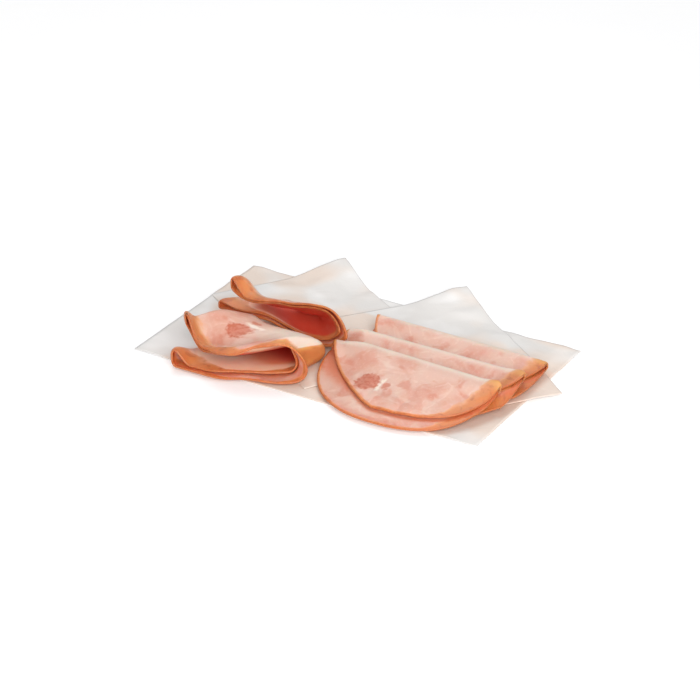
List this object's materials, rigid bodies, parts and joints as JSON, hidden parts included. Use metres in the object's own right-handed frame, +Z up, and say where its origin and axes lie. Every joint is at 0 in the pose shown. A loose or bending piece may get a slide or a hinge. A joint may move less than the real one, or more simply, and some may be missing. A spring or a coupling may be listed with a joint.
{
  "type": "sliced ham on deli paper",
  "caption": "Slices of cooked ham, folded once or twice and laid out on overlapping sheets of deli paper.",
  "frame": {"origin": "bottom centre of the bounding box, on the underside of the lowest paper sheet", "axes": "+X along the layout's length, towards the shingled slices' ends; +Y towards the back, away from the folds' open rims; +Z up, across its shortest extent"},
  "size_m": [0.2702, 0.1908, 0.0386],
  "materials": {
    "paper": "matte",
    "ham": "moist satin"
  },
  "bodies": {
    "root": {"deli_sheet_under": "paper", "deli_sheet_left": "paper", "deli_sheet_right": "paper", "ham_slice_right_back": "ham", "ham_slice_right_middle": "ham", "ham_slice_right_front": "ham", "ham_slice_left_front": "ham", "ham_slice_left_back": "ham"}
  },
  "joints": []
}
